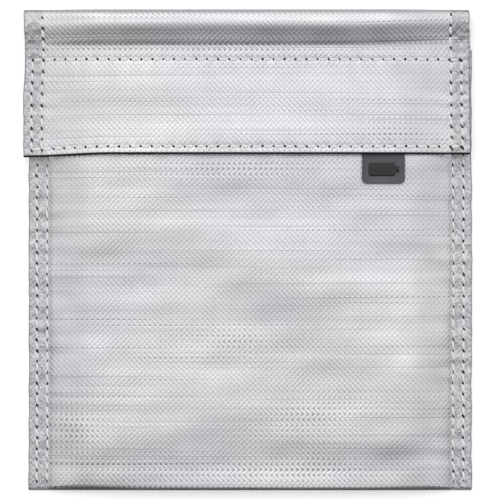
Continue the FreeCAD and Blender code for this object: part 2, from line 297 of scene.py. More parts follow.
def settled_folds(x, y):
    """The simulated folds at places of the front, fading to nothing at the sheet's rim."""
    x, y = np.broadcast_arrays(x, y)
    across = np.clip((x - SLACK_X[0]) / (SLACK_X[1] - SLACK_X[0]), 0, len(SLACK_X) - 1.001)
    up = np.clip((y - SLACK_Y[0]) / (SLACK_Y[1] - SLACK_Y[0]), 0, len(SLACK_Y) - 1.001)
    i, j = across.astype(int), up.astype(int)
    rim = smoothstep(np.minimum(across, len(SLACK_X) - 1 - across) / 2)
    rim = rim * smoothstep(np.minimum(up, len(SLACK_Y) - 1 - up) / 2)
    return rim * read_grid(FOLDS, i, j, across - i, up - j)


def spread_from(x, y, spot):
    """One at a spot's middle, fading to nothing beyond its reach."""
    return np.exp(-((x - spot[0]) / spot[2]) ** 2 - ((y - spot[1]) / spot[3]) ** 2)


def corner_creases(x, y):
    """The lower right corner is crushed into a few short slanting creases."""
    near = np.exp(-((x - POUCH_X - HALF + 4) ** 2 + (y - BOTTOM - 7) ** 2) / 6 ** 2)
    return 0.28 * near * np.sin(2 * math.pi * (0.85 * x + 0.5 * y) / 3.1)


def front_relief(x, y):
    """What the front's cloth does beyond its plump shape."""
    side = np.abs(x - POUCH_X)
    full = smoothstep((REACH - side) / 18)
    broad = ripples(x, y, (0.30, 80, 11, 1.8), (0.20, 38, 12, 2.0), (0.08, 17, 13, 1.7))
    broad = broad + sum(swell[4] * spread_from(x, y, swell) for swell in SWELLS)
    slack = 0.9 * smoothstep((-30 - x) / 40) + 0.5 * smoothstep((x - 40) / 40)
    calm = 1 - 0.75 * smoothstep((y - TAPE_LOW + 14) / 14)
    bottom = smoothstep((y - BOTTOM) / 14)
    relief = full * (bottom * calm * broad - slack * np.exp((BOTTOM - y) / 3.5))
    relief = relief + calm * settled_folds(x, y)
    shift = 7 * np.sign(x - POUCH_X)
    seams = side_seams(x, y, side, shift, 23, 0.16, ((0.07, 5.2, 31), (0.05, 2.9, 32)))
    return relief + seams + corner_creases(x, y)


def flap_relief(x, y):
    """What the flap's cloth does beyond its hanging shape."""
    relief = ripples(x, y, (0.25, 60, 41, 2.0), (0.10, 27, 42, 2.0))
    for row, seed in ((END_ROW, 44), (UPPER_ROW, 45)):
        relief = relief + row_groove(y - row, x, depth=0.18)
        relief = relief + seam_puckers(y - row, x, seed, depth=0.08, reach=4.0)
    side = np.abs(x - FLAP_X)
    return relief + side_seams(x, y, side, 0.0, 43, 0.10, ((0.07, 5.0, 46), (0.045, 2.8, 47)))


def turned_edge(along, radius=FOLD):
    """A cloth's edge turned under. along is the way from the fold, measured on the cloth:
    positive on top, negative underneath. Returns the way in from the edge, and the drop."""
    quarter = math.pi * radius / 2
    angle = np.clip(along / radius, -math.pi / 2, math.pi / 2)
    inward = radius - radius * np.cos(angle) + np.clip(np.abs(along) - quarter, 0, None)
    drop = radius * (1 - np.sin(angle))
    return inward, drop


def uneven_edge(x, y, seed):
    """How far the side edges stray from straight, outwards on either side."""
    right = np.sign(x)
    reach = smoothstep((np.abs(x) - 60) / 35) * right
    stray = 0.22 * ripple(y, right * 40, 24, seed) + 0.12 * ripple(y, right * 9, 9, seed + 1)
    return reach * stray


def hem_marks(along, count):
    """How crumpled the foil is and how deep in the fold's shadow it lies, for columns of count
    places that are this far along the cloth from a turned side edge."""
    crumple = smoothstep((HEM - np.abs(along)) / 1.5)
    shade = 0.55 * smoothstep((0.55 - along) / 0.35)
    return [np.repeat(mark[:, None], count, axis=1) for mark in (crumple, shade)]


class Cloth:
    """A sheet as a grid of places on its middle surface, with its own measure along it. weave
    is where each place lies on the flat cloth, for the material; it is the measure unless
    given."""

    def __init__(self, u, v, points, outward, weave=None):
        self.u, self.v, self.points = u, v, points
        self.weave = np.stack(np.meshgrid(u, v, indexing="ij"), -1) if weave is None else weave
        along_u = np.gradient(points, axis=0)
        along_v = np.gradient(points, axis=1)
        normals = np.cross(along_u, along_v)
        length = np.linalg.norm(normals, axis=2, keepdims=True)
        normals = normals / np.maximum(length, 1e-9)
        middle = normals[len(u) // 2, len(v) // 2]
        self.normals = normals * (1 if middle @ np.array(outward) > 0 else -1)

    def measure_at(self, u, y):
        """The measure v at which the cloth's column u passes over y."""
        column = int(np.argmin(np.abs(self.u - u)))
        rise = self.points[column, :, 1]
        top = int(np.argmax(rise))
        low = int(np.argmin(rise[:top]))
        return float(np.interp(y, rise[low:top], self.v[low:top]))

    def at(self, u, v):
        """Place and outward direction at a measure (u, v) of the cloth."""
        i = np.clip(np.searchsorted(self.u, u) - 1, 0, len(self.u) - 2)
        j = np.clip(np.searchsorted(self.v, v) - 1, 0, len(self.v) - 2)
        s = (u - self.u[i]) / (self.u[i + 1] - self.u[i])
        t = (v - self.v[j]) / (self.v[j + 1] - self.v[j])
        normal = read_grid(self.normals, i, j, s, t)
        return read_grid(self.points, i, j, s, t), normal / np.linalg.norm(normal)


def make_shell(name, cloth, thickness, keep=None, marks=()):
    """A closed mesh of the cloth's thickness. keep says which cells of the grid are cloth,
    and marks are values at each place for the material: how crumpled the foil is, how deep in
    a fold's shadow it lies, and how far the weave is pulled into chevrons."""
    rows, columns = cloth.points.shape[:2]
    keep = np.ones((rows - 1, columns - 1), bool) if keep is None else keep
    cells = cells_of(rows, columns)[keep]
    step_u = cloth.points[1:, :-1] - cloth.points[:-1, :-1]
    step_v = cloth.points[:-1, 1:] - cloth.points[:-1, :-1]
    facing = np.einsum("ijk,ijk->ij", np.cross(step_u, step_v), cloth.normals[:-1, :-1])[keep]
    if facing.mean() < 0:
        cells = cells[:, ::-1]
    total = rows * columns
    edges = np.concatenate([np.stack([cells[:, k], cells[:, (k + 1) % 4]], 1) for k in range(4)])
    forward = edges[:, 0] * total + edges[:, 1]
    backward = edges[:, 1] * total + edges[:, 0]
    rim = edges[~np.isin(forward, backward)]
    rim_faces = np.stack([rim[:, 1], rim[:, 0], rim[:, 0] + total, rim[:, 1] + total], 1)
    faces = np.concatenate([cells, cells[:, ::-1] + total, rim_faces])
    half = cloth.normals * (thickness / 2)
    places = np.concatenate([(cloth.points + half).reshape(-1, 3), (cloth.points - half).reshape(-1, 3)])
    normals = np.concatenate([cloth.normals.reshape(-1, 3), -cloth.normals.reshape(-1, 3)])
    measure = np.tile(cloth.weave.reshape(-1, 2), (2, 1))
    used, faces = np.unique(faces, return_inverse=True)
    faces = faces.reshape(-1, 4)
    mesh = bpy.data.meshes.new(name)
    mesh.from_pydata((places[used] * MM).tolist(), [], faces.tolist())
    layer = mesh.uv_layers.new(name="UVMap")
    corners = np.zeros(len(mesh.loops), int)
    mesh.loops.foreach_get("vertex_index", corners)
    layer.data.foreach_set("uv", (measure[used][corners] * MM).astype(np.float32).ravel())
    for label, mark in zip(("crumple", "shade", "pulled"), marks):
        both = np.tile(mark.ravel(), 2)[used]
        mesh.attributes.new(label, "FLOAT", "POINT").data.foreach_set("value", both.astype(np.float32))
    mesh.polygons.foreach_set("use_smooth", np.ones(len(mesh.polygons), bool))
    mesh.normals_split_custom_set_from_vertices(normals[used].tolist())
    return add_object(name, mesh)


def finish_piece(piece, look, nodes=()):
    """Give a piece the material of its look, which is a material and the name of a slot, and hide the
    nodes it replaces.
    """
    material, slot = look
    piece.data.materials.append(material)
    if nodes:
        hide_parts(*nodes)


def lay(name, cloth, look, nodes, fasten, keep=None, marks=()):
    """A sheet of outer cloth or lining. Its flat cut is the cloth's own measure from edge to edge, and
    fasten is called on it: ride_pouch ties it to the pouch, the others only bake its place."""
    piece = make_shell(name, cloth, CLOTH if look is CLOTH_LOOK else LINING, keep, marks)
    finish_piece(piece, look, nodes)
    fasten(piece)


# ---- the front of the pouch

def bottom_profile(x):
    """For each place across: the bottom fold's radius and the length of the front's rise."""
    full = fullness(x)
    low = (SEAM_MID - CLOTH / 2) / 2
    run = BOTTOM_RUN + 1.4 * smoothstep((-45 - x) / 35) + 0.8 * smoothstep((x - 50) / 35)
    return low + (BOTTOM_RADIUS - low) * full, low + (run - low) * full


FRONT_V = {
    "under": steps((-1.0, 0.0, 1 / 6)),        # back to the outermost line of the fold
    "rise": steps((0.0, 1.0, 1 / 26))[1:],     # fold to the flat of the front
    "flat": steps((1.0, 2.0, 1 / 130))[1:],    # flat to the mouth
}
HEM_START = 14             # the turned hems begin this many cells above the bottom fold


def front_places(x, v):
    """The front's middle surface at places x across and v up the bag."""
    x, v = np.broadcast_arrays(x, v)
    radius, run = bottom_profile(x)
    edge = BOTTOM + CLOTH / 2
    middle = CLOTH / 2 + radius
    top = pillow(x)
    under = np.clip(-v, 0, 1) * math.pi / 2
    rise = np.clip(v, 0, 1) * math.pi / 2
    y = edge + radius * (1 - np.cos(under)) + run * (1 - np.cos(rise))
    z = middle - radius * np.sin(under) + (top - middle) * np.sin(rise)
    y = y + (MOUTH - FOLD - edge - run) * np.clip(v - 1, 0, 1)
    lift = smoothstep(v / 0.6)
    return np.stack([x, y, z + lift * front_relief(x, y)], -1)


def turned_mouth(front):
    """The front's places, with the turned edge of the mouth added beyond the last ones."""
    around = math.pi * FOLD
    along = steps((0.0, around, 0.16), (around, around + MOUTH_HEM, 1.2))[1:]
    inward, drop = turned_edge(around / 2 - along)
    hem = np.repeat(front[:, -1:], len(along), axis=1)
    hem[:, :, 1] = MOUTH - inward
    hem[:, :, 2] -= drop
    return np.concatenate([front, hem], axis=1)


def way_up(points, bend, mouth):
    """How far up the flat cloth each place lies. Between the bends that is its own y, so that
    the weave of both halves meets, and beyond them it is the way along the cloth."""
    climb = np.cumsum(np.linalg.norm(np.diff(points, axis=1), axis=2), axis=1)
    climb = np.pad(climb, ((0, 0), (1, 0)))
    climb[:, mouth:] += points[:, mouth, 1:2] - climb[:, mouth:mouth + 1]
    climb[:, :bend] += points[:, bend, 1:2] - climb[:, bend:bend + 1]
    climb[:, bend:mouth] = points[:, bend:mouth, 1]
    return climb


def front_cloth(side):
    """Half of the front, from its turned side edge to the middle of the bag."""
    along = steps((-HEM, -1.0, 1.2), (-1.0, 1.0, 0.16), (1.0, HEM + 2, 0.6),
                  (HEM + 2, 45, 0.95), (45, HALF, 1.35))
    inward, drop = turned_edge(along)
    x = POUCH_X + side * (HALF - inward)
    x[-1] = POUCH_X
    v = np.concatenate([FRONT_V["under"], FRONT_V["rise"], FRONT_V["flat"]])
    bend, mouth = len(FRONT_V["under"]) + len(FRONT_V["rise"]) - 1, len(v) - 1
    points = turned_mouth(front_places(x[:, None], v[None, :]))
    points[:, :, 2] -= drop[:, None]
    # A small shift gives the middle line, which both halves share, a side of its own.
    points[:, :, 0] += uneven_edge(points[:, :, 0] - POUCH_X + 0.01 * side, points[:, :, 1], 33)
    across = side * (HALF - along)
    up = way_up(points, bend, mouth)
    count = points.shape[1]
    under = (along[:-1] + along[1:]) / 2 < 0
    cell = np.arange(count - 1)
    keep = ~(under[:, None] & ((cell < HEM_START) | (cell >= mouth))[None, :])
    crumple, shade = hem_marks(along, count)
    below = 0.95 * smoothstep((0.26 - v) / 0.16)
    shade[:, :len(v)] = np.maximum(shade[:, :len(v)], below)
    pulled = sum(spread_from(points[:, :, 0], points[:, :, 1], spot) for spot in FRONT_PULLS)
    weave = np.stack([np.broadcast_to(across[:, None], up.shape), up], -1)
    order = slice(None, None, -side)       # columns run from left to right
    cloth = Cloth(across[order], up[-1], points[order], (0, 0, 1), weave[order])
    return cloth, keep[order], [mark[order] for mark in (crumple, shade, pulled)]


def front_layer(side, half_width, y_span, lift, spacing=1.5):
    """Half of a ply that lies over or under the front, following it at a distance."""
    x = POUCH_X + side * steps((half_width, 0.0, spacing))
    x[-1] = POUCH_X
    y = steps((y_span[0], y_span[1], spacing))
    base = front_height(x[:, None], y[None, :])
    points = np.stack([*np.broadcast_arrays(x[:, None], y[None, :]), base + lift], -1)
    measure = x - POUCH_X
    if side > 0:
        measure, points = measure[::-1], points[::-1]
    return Cloth(measure, y, points, (0, 0, 1))


def front_height(x, y):
    """Height of the front's middle surface over a place (x, y)."""
    x, y = np.broadcast_arrays(x, y)
    radius, run = bottom_profile(x)
    edge = BOTTOM + CLOTH / 2
    middle = CLOTH / 2 + radius
    way = np.clip((y - edge) / run, 0, 1)
    rise = np.sqrt(np.clip(1 - (1 - way) ** 2, 0, 1))
    lift = smoothstep(np.arccos(np.clip(1 - way, -1, 1)) / (math.pi / 2) / 0.6)
    return middle + (pillow(x) - middle) * rise + lift * front_relief(x, y)


# ---- the flap and the top fold

# The fold seen from its end, as (y, z) from the back up over the ridge to the flap. The two
# cloths are sewn flat below it and spring apart above, so it stands higher than the flap.
TOP_FOLD = [
    (TOP - 12.0, CLOTH / 2), (TOP - 8.0, CLOTH / 2), (TOP - 4.2, 1.1), (TOP - 1.5, 4.0), (TOP - 0.4, 8.3),
    (TOP - 0.3, 12.3), (TOP - 0.7, 16.0), (TOP - 2.0, 17.6), (TOP - 4.0, 18.05), (TOP - 5.5, 18.2),
    (TOP - 7.0, 18.15), (TOP - 8.2, 17.95), (TOP - 9.6, 17.6), (TOP - 11.0, 17.2), (TOP - 12.6, 16.8),
    (TOP - 14.2, 16.45), (TOP - 15.8, FLAP_MID + 0.06), (TOP - 17.2, FLAP_MID), (TOP - 20.0, FLAP_MID),
    (TOP - FOLD_GAP, FLAP_MID),
]


def smooth_line(corners, spacing):
    """A smooth line through the corners, at even steps (a Catmull-Rom curve)."""
    corners = np.array(corners)
    padded = np.vstack([2 * corners[0] - corners[1], corners, 2 * corners[-1] - corners[-2]])
    line = []
    for k in range(1, len(padded) - 2):
        a, b, c, d = padded[k - 1:k + 3]
        for t in np.linspace(0, 1, 40, endpoint=False):
            line.append(0.5 * (2 * b + (c - a) * t + (2 * a - 5 * b + 4 * c - d) * t ** 2
                               + (3 * b - a - 3 * c + d) * t ** 3))
    line = np.array(line + [corners[-1]])
    way = np.concatenate([[0], np.cumsum(np.linalg.norm(np.diff(line, axis=0), axis=1))])
    even = np.linspace(0, way[-1], max(2, round(way[-1] / spacing)))
    return np.stack([np.interp(even, way, line[:, k]) for k in range(2)], -1), even


FOLD_STEP = 0.9            # between places of the fold's line
HEM_STOP = 12              # the flap's turned sides end this many cells before the fold's edge
FOLD_LINE, FOLD_WAY = smooth_line(TOP_FOLD, FOLD_STEP)
FOLD_SPLIT = int(np.argmax(FOLD_LINE[:, 0]))     # outermost place of the fold
FOLD_START = int(np.searchsorted(FOLD_WAY, 3.0))  # where the back panel ends


def hang(x):
    """The flap's height over its width, as a share of its height in the middle."""
    return 1 - DROOP / FLAP_MID * smoothstep((np.abs(x - FLAP_X) - DROOP_START) / (HALF - DROOP_START))


def fold_shift(x):
    """Towards its right end the ridge of the top fold runs nearer to the edge."""
    return 1.6 * smoothstep((x - 40) / 60)


def end_dip(x):
    """The flap's free edge hangs a little lower at its left corner."""
    return 1.3 * smoothstep((-60 - x) / 40)


def flap_cloth():
    """The flap with its turned side edges and free edge, up to the outermost line of the fold."""
    along = steps((-HEM, -1.0, 1.2), (-1.0, 1.0, 0.16), (1.0, HEM + 2, 0.6), (HEM + 2, HALF, 1.1))
    inward, drop = turned_edge(along)
    left = FLAP_X - (HALF - inward)
    x = np.concatenate([left, 2 * FLAP_X - left[-2::-1]])
    drop = np.concatenate([drop, drop[-2::-1]])
    along = np.concatenate([along, along[-2::-1]])
    across = np.concatenate([along[:len(left)], 2 * HALF - along[len(left):]]) - HALF
    up = steps((-END_HEM, -1.5, 1.2), (-1.5, 1.5, 0.16), (1.5, TOP - FOLD_GAP - FLAP_END, 0.75))
    in_y, end_drop = turned_edge(up)
    fold = FOLD_LINE[FOLD_SPLIT:][::-1][1:]
    y = np.concatenate([FLAP_END + in_y, fold[:, 0]])
    z = np.concatenate([np.full(len(up), FLAP_MID), fold[:, 1]])
    over_tapes = np.minimum(y, TOP - 18) - (TAPE_HIGH - 12)
    z = z - TILT * over_tapes * np.clip((z - fold[-1, 1]) / 6, 0, 1)
    grid_x, grid_y = np.meshgrid(x, y, indexing="ij")
    fade = np.ones(len(y))
    fade[len(up):] = 1 - smoothstep(np.linspace(0, 1, len(fold)) * 1.6 - 0.5)
    height = z * hang(grid_x) + flap_relief(grid_x, grid_y) * fade - drop[:, None]
    height[:, :len(up)] -= end_drop
    ridge = smoothstep((grid_y - (TOP - 22)) / 8) * smoothstep((TOP - grid_y) / 4)
    dip = end_dip(grid_x) * (1 - smoothstep((grid_y - FLAP_END) / 30))
    grid_y = grid_y + fold_shift(grid_x) * ridge - dip
    grid_x = grid_x + uneven_edge(grid_x - FLAP_X, grid_y, 48)
    flare = FLARE * (1 - smoothstep((grid_y - FLAP_END) / 50))
    grid_x = grid_x + flare * (grid_x - FLAP_X) / HALF
    way = np.concatenate([[0], np.cumsum(np.hypot(*np.diff(fold, axis=0).T))])
    measure_v = np.concatenate([up, up[-1] + FOLD_STEP + way])
    side_under = (along[:-1] + along[1:]) / 2 < 0
    end_under = np.concatenate([(up[:-1] + up[1:]) / 2 < 0, np.zeros(len(fold), bool)])
    keep = ~(side_under[:, None] & end_under[None, :])
    keep[side_under, -HEM_STOP:] = False
    crumple, shade = hem_marks(along, len(y))
    shade[:, :len(up)] = np.maximum(shade[:, :len(up)], smoothstep((1.05 - up) / 0.4))
    pulled = sum(spread_from(grid_x, grid_y, spot) for spot in FLAP_PULLS)
    cloth = Cloth(across, measure_v, np.stack([grid_x, grid_y, height], -1), (0, 0, 1))
    return cloth, keep, (crumple, shade, pulled)


def fold_cloth():
    """The cloth from the back up to the outermost line of the top fold."""
    left = steps((0.5, HALF, 1.4)) - HALF
    x = np.concatenate([left, -left[-2::-1]])
    part = slice(FOLD_START, FOLD_SPLIT + 1)
    grid_x, grid_y = np.meshgrid(x, FOLD_LINE[part, 0], indexing="ij")
    height = CLOTH / 2 + (FOLD_LINE[part, 1] - CLOTH / 2) * hang(grid_x)
    return Cloth(x, FOLD_WAY[part], np.stack([grid_x, grid_y, height], -1), (0, 1, 0))


# ---- materials

class Graph:
    """Short calls for building a node tree."""

    def __init__(self, tree):
        tree.nodes.clear()
        self.tree = tree

    def node(self, kind, inputs=(), **settings):
        item = self.tree.nodes.new("ShaderNode" + kind)
        for key, setting in settings.items():
            setattr(item, key, setting)
        for key, source in dict(inputs).items():
            self.feed(source, item.inputs[key])
        return item

    def feed(self, source, socket):
        if isinstance(source, bpy.types.NodeSocket):
            self.tree.links.new(source, socket)
        else:
            socket.default_value = source

    def math(self, operation, a, b=0.0, c=0.0, clamp=False):
        item = self.node("Math", {0: a, 1: b, 2: c}, operation=operation, use_clamp=clamp)
        return item.outputs[0]

    def plus(self, a, b, clamp=False):
        return self.math("ADD", a, b, clamp=clamp)

    def minus(self, a, b):
        return self.math("SUBTRACT", a, b)

    def times(self, a, b):
        return self.math("MULTIPLY", a, b)

    def most(self, a, b):
        return self.math("MAXIMUM", a, b)

    def cosine(self, angle):
        return self.math("COSINE", angle)

    def sine(self, angle):
        return self.math("SINE", angle)

    def uv(self):
        return self.node("UVMap", uv_map="UVMap").outputs["UV"]

    def place(self):
        return self.node("TexCoord").outputs["Object"]

    def mark(self, name):
        return self.node("Attribute", attribute_name=name).outputs["Fac"]

    def split(self, vector):
        return self.node("SeparateXYZ", {0: vector}).outputs

    def noise(self, vector, scale, detail=2.0, roughness=0.5):
        item = self.node("TexNoise", {"Vector": vector, "Scale": scale, "Detail": detail,
                                      "Roughness": roughness})
        return item.outputs["Fac"]

    def drawn_noise(self, vector, across, up, detail=2.0, roughness=0.5):
        """Noise with a scale of its own each way."""
        drawn = self.node("Mapping", {"Vector": vector, "Scale": (across, up, 1.0)})
        return self.noise(drawn.outputs["Vector"], 1.0, detail, roughness)

    def ramp(self, value, low, high, start=0.0, end=1.0):
        item = self.node("MapRange", {"Value": value, "From Min": low, "From Max": high,
                                      "To Min": start, "To Max": end}, interpolation_type="SMOOTHSTEP")
        return item.outputs["Result"]

    def mix(self, share, a, b):
        item = self.node("Mix", data_type="RGBA")
        self.feed(share, item.inputs[0])
        self.feed(a, item.inputs[6])
        self.feed(b, item.inputs[7])
        return item.outputs[2]

    def bump(self, height, distance, strength, **normal):
        inputs = {"Height": height, "Distance": distance, "Strength": strength, **normal}
        return self.node("Bump", inputs).outputs["Normal"]

    def coat(self, colour, roughness, **others):
        """What the shader's surface is like."""
        for key, source in {"Base Color": colour, "Roughness": roughness, **others}.items():
            self.feed(source, self.shader.inputs[key])


def new_material(name):
    """A material and its graph."""
    material = bpy.data.materials.new(name)
    material.use_nodes = True
    g = Graph(material.node_tree)
    g.shader = g.node("BsdfPrincipled")
    g.node("OutputMaterial", {"Surface": g.shader.outputs["BSDF"]})
    return material, g


def aluminised_cloth():
    """Foil-coated satin weave: a lattice of thread crossings with painted shade in its hollows, dark
    slubs along the weft, faint warm and cool tints with darker bluish patches of painted reflection,
    creased foil along the hems with painted shade in its creases, and painted shade where a fold's shadow
    lies."""
    material, g = new_material("aluminised_cloth")
    uv = g.uv()
    cell, row = 2.35 * MM, 2.5 * MM
    place = g.split(uv)
    shift = g.times(g.minus(g.noise(uv, 60.0, 2.0), 0.5), 0.8 * MM)
    across = g.times(g.plus(place[0], shift), 2 * math.pi / cell)
    along = g.times(g.plus(place[1], g.times(shift, 0.5)), 2 * math.pi / row)
    # Thread crossings, which lean one way or the other, and where strong in chevrons.
    patch = g.drawn_noise(uv, 14.0, 40.0)
    strong = g.times(g.mark("pulled"), g.ramp(patch, 0.30, 0.55, 0.40, 1.0))
    strong = g.plus(strong, g.ramp(patch, 0.58, 0.75, 0.0, 0.35), clamp=True)
    drift = g.ramp(g.drawn_noise(uv, 40.0, 75.0, 1.0), 0.38, 0.62, -0.45, 0.45)
    turn = g.ramp(g.cosine(g.times(along, 0.5)), -0.3, 0.3, -0.8, 0.8)
    slant = g.plus(g.times(g.minus(turn, drift), strong), drift)
    straight = g.times(g.cosine(across), g.cosine(along))
    leaning = g.times(g.sine(across), g.sine(along))
    weave = g.plus(straight, g.times(leaning, slant))
    weave = g.plus(weave, g.times(g.times(g.cosine(along), strong), 0.4))
    slub = g.ramp(g.drawn_noise(uv, 7.0, 900.0, 1.0, 0.4), 0.60, 0.70)
    slub = g.times(slub, g.ramp(g.cosine(across), -0.6, 0.6, 0.3, 1.0))
    grain = g.drawn_noise(uv, 900.0, 1500.0, 3.0)
    height = g.minus(g.times(weave, 0.45), g.times(slub, 0.6))
    height = g.plus(height, g.times(grain, 0.5))
    crumple = g.mark("crumple")
    foil = g.noise(uv, 450.0, 5.0, 0.65)
    normal = g.bump(g.times(foil, crumple), 0.5 * MM, 0.6)
    normal = g.bump(height, 0.10 * MM, 0.6, Normal=normal)
    warm = g.ramp(g.noise(uv, 9.0, 2.0), 0.38, 0.62)
    tint = g.mix(warm, (0.79, 0.785, 0.835, 1), (0.835, 0.83, 0.825, 1))
    # Painted reflection: darker bluish patches stand in for dark reflections on the foil.
    cool = g.ramp(g.drawn_noise(uv, 9.0, 15.0, 1.0), 0.56, 0.74, 0.0, 0.35)
    tint = g.mix(cool, tint, (0.60, 0.63, 0.70, 1))
    streak = g.ramp(g.drawn_noise(uv, 5.0, 430.0), 0.35, 0.68, 0.0, 0.22)
    tint = g.mix(streak, tint, (0.50, 0.50, 0.54, 1))
    # Painted shade: the hollows of the weave are coloured darker, more where the weave is pulled into
    # chevrons.
    pits = g.ramp(weave, -0.25, -0.95)
    dark = g.times(pits, g.math("MULTIPLY_ADD", strong, 0.42, 0.34))
    dark = g.plus(dark, g.times(slub, 0.30), clamp=True)
    # Painted shade: on the hems, the hollows of the creased foil are coloured darker.
    dark = g.most(dark, g.times(g.ramp(foil, 0.62, 0.38, 0.16, 0.50), crumple))
    rough = g.ramp(g.noise(uv, 70.0, 3.0), 0.3, 0.7, 0.23, 0.35)
    colour = g.mix(dark, tint, (0.20, 0.20, 0.23, 1))
    shade = g.mark("shade")
    lit = g.minus(1.0, shade)
    colour = g.mix(shade, colour, (0.02, 0.02, 0.022, 1))
    shine = {"Metallic": g.times(lit, 0.82), "Specular IOR Level": g.times(lit, 0.5)}
    g.coat(colour, g.most(rough, shade), Normal=normal, **shine)
    return material


def glass_cloth():
    """The lining: plain weave, matt, off-white, with painted shade in the hollows of its weave."""
    material, g = new_material("glass_cloth")
    uv = g.uv()
    place = g.split(uv)
    rate = 2 * math.pi / (1.5 * MM)
    weave = g.times(g.sine(g.times(place[0], rate)), g.sine(g.times(place[1], rate)))
    fibre = g.drawn_noise(uv, 2500.0, 700.0, 3.0)
    height = g.plus(weave, g.times(fibre, 0.6))
    soil = g.ramp(g.noise(uv, 20.0, 3.0), 0.3, 0.7)
    colour = g.mix(soil, (0.60, 0.59, 0.55, 1), (0.70, 0.69, 0.66, 1))
    # Painted shade: the hollows of the weave are coloured darker.
    colour = g.mix(g.ramp(weave, -0.2, -0.9, 0.0, 0.35), colour, (0.36, 0.35, 0.32, 1))
    g.coat(colour, 0.78, Normal=g.bump(height, 0.12 * MM, 0.7))
    return material


def sewing_thread():
    """White thread, with its strands twisted five times in a stitch, and painted shade in the grooves
    between them.
    """
    material, g = new_material("sewing_thread")
    place = g.split(g.uv())
    twist = g.plus(g.times(place[0], 2 * math.pi * 5), g.times(place[1], 2 * math.pi * 2))
    ply = g.sine(twist)
    # Painted shade: the thread is coloured grey in the grooves between its strands.
    colour = g.mix(g.ramp(ply, -1.0, 0.2), (0.62, 0.62, 0.61, 1), (0.93, 0.93, 0.92, 1))
    g.coat(colour, 0.62, Normal=g.bump(ply, 0.08 * MM, 0.8))
    return material


def needle_hole():
    # Painted shade: a near-black disc stands for the shadow inside a needle hole, speckled with noise.
    material, g = new_material("needle_hole")
    hole_shade_speckle = g.noise(g.place(), 900.0)
    g.coat(g.mix(hole_shade_speckle, (0.006, 0.006, 0.007, 1), (0.02, 0.02, 0.022, 1)), 0.9)
    return material


def tape(name, tint):
    """Fuzzy tape, much lighter where its fibres stand up: a painted highlight on their tips."""
    material, g = new_material(name)
    fuzz = g.noise(g.place(), 1400.0, 4.0, 0.7)
    lighter = tuple(3.2 * part for part in tint)
    # Painted highlight: the raised fibres are coloured lighter.
    colour = g.mix(g.ramp(fuzz, 0.4, 0.75), (*tint, 1), (*lighter, 1))
    g.coat(colour, 0.85, Normal=g.bump(fuzz, 0.4 * MM, 0.9))
    return material


def label_rubber():
    """Moulded rubber with a fine grain."""
    material, g = new_material("label_rubber")
    place = g.place()
    cloudy = g.ramp(g.noise(place, 160.0, 3.0), 0.3, 0.7)
    colour = g.mix(cloudy, (0.068, 0.070, 0.080, 1), (0.088, 0.090, 0.101, 1))
    g.coat(colour, 0.55, Normal=g.bump(g.noise(place, 2600.0, 3.0, 0.6), 0.03 * MM, 0.5))
    return material


def label_gloss():
    material, g = new_material("label_gloss")
    wear = g.noise(g.place(), 700.0, 3.0)
    colour = g.mix(wear, (0.006, 0.006, 0.007, 1), (0.014, 0.014, 0.016, 1))
    g.coat(colour, g.ramp(wear, 0.2, 0.8, 0.12, 0.26))
    return material


# A look is a material and the name of its slot.
CLOTH_LOOK = (aluminised_cloth(), "aluminised_cloth")
LINING_LOOK = (glass_cloth(), "lining_cloth")
THREAD_LOOK = (sewing_thread(), "thread")
HOLE_LOOK = (needle_hole(), "thread")
HOOK_LOOK = (tape("hook_tape", (0.012, 0.012, 0.014)), "hook_tape")
LOOP_LOOK = (tape("loop_tape", (0.016, 0.016, 0.018)), "loop_tape")
RUBBER_LOOK = (label_rubber(), "label_rubber")
GLOSS_LOOK = (label_gloss(), "label_mark")


# ---- stitches

THREAD_RADIUS = 0.60
THREAD_SIDES = 8
HOLE_SIDES = 10
HALF_STITCH = STITCH_PITCH / 2
TAPE_SEAM = 0.9            # from a tape's edge to the stitches along it
FLAP_ROWS = 2.6            # the rows down the flap's sides begin this far from its free edge
FLAP_INNER_END = 62.0      # and the inner ones end here, on the top fold
SIDE_JITTER = 0.22         # how unevenly the side rows are sewn
CROSS_JITTER = 0.15        # and the rows across the bag
SIDES = ((-1, "left"), (1, "right"))


def add_tube(places, faces, uvs, line, ups, radii):
    """A round thread along a line, closed at both ends."""
    start, count, sides = len(places), len(line), THREAD_SIDES
    for place, way, above, radius in zip(line, np.gradient(line, axis=0), ups, radii):
        forward = way / np.linalg.norm(way)
        across = np.cross(forward, above)
        across /= np.linalg.norm(across)
        up = np.cross(across, forward)
        for n in range(sides):
            angle = 2 * math.pi * n / sides
            places.append(place + radius * (across * math.cos(angle) + up * 0.8 * math.sin(angle)))
    for k in range(count - 1):
        for n in range(sides):
            corners = ((k, n), (k, n + 1), (k + 1, n + 1), (k + 1, n))
            faces.append([start + i * sides + j % sides for i, j in corners])
            uvs.append([(i / count, j / sides) for i, j in corners])
    faces.append([start + n for n in range(sides)][::-1])
    faces.append([start + (count - 1) * sides + n for n in range(sides)])
    uvs.extend([[(0, 0)] * sides, [(1, 0)] * sides])


def mesh_piece(name, places, faces, uvs=None):
    mesh = bpy.data.meshes.new(name)
    mesh.from_pydata((np.array(places) * MM).tolist(), [], faces)
    if uvs is not None:
        layer = mesh.uv_layers.new(name="UVMap")
        layer.data.foreach_set("uv", np.array([c for face in uvs for c in face], np.float32).ravel())
    mesh.polygons.foreach_set("use_smooth", np.ones(len(mesh.polygons), bool))
    mesh.update()
    mesh.set_sharp_from_angle(angle=math.radians(50))
    return add_object(name, mesh)


